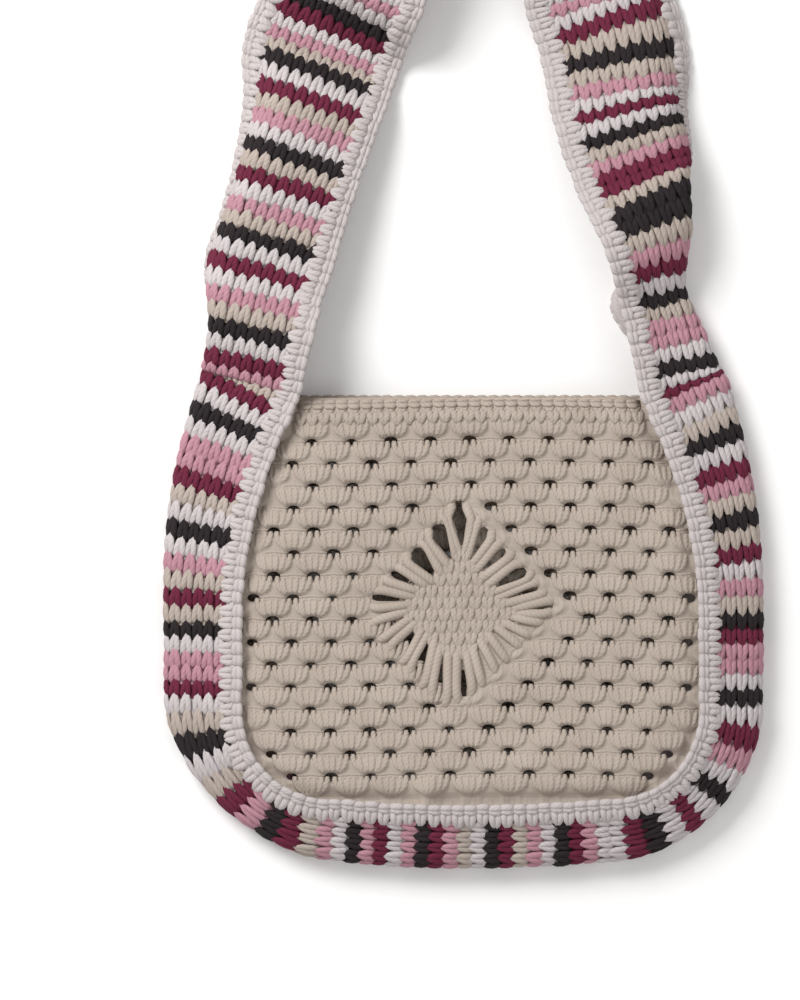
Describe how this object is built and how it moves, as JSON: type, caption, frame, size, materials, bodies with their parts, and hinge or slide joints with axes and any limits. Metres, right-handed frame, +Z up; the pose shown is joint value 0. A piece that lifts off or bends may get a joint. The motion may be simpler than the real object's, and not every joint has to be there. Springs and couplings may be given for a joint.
{
  "type": "crocheted crossbody bag",
  "caption": "Crocheted crossbody bag lying flat: an open trellis panel with a spider-stitch diamond, and one striped band that is both gusset and strap.",
  "frame": {"origin": "on the flat underside of the back panel, under the middle of the bag's body", "axes": "+Z up from the surface that the bag lies on, +Y from the bag's bottom to its mouth and on along the strap, +X to the right as seen from the front panel"},
  "size_m": [0.2998, 0.7207, 0.077],
  "materials": {
    "band_yarn": "single crochet stripes in acrylic yarn: charcoal, burgundy, dusty pink, beige and off-white",
    "edging_yarn": "single crochet edging in off-white acrylic yarn",
    "panel_yarn": "double crochet trellis in beige acrylic yarn"
  },
  "bodies": {
    "root": {"strap_band": "band_yarn", "front_edging": "edging_yarn", "back_edging": "edging_yarn", "front_panel": "panel_yarn", "back_panel": "panel_yarn"}
  },
  "joints": []
}
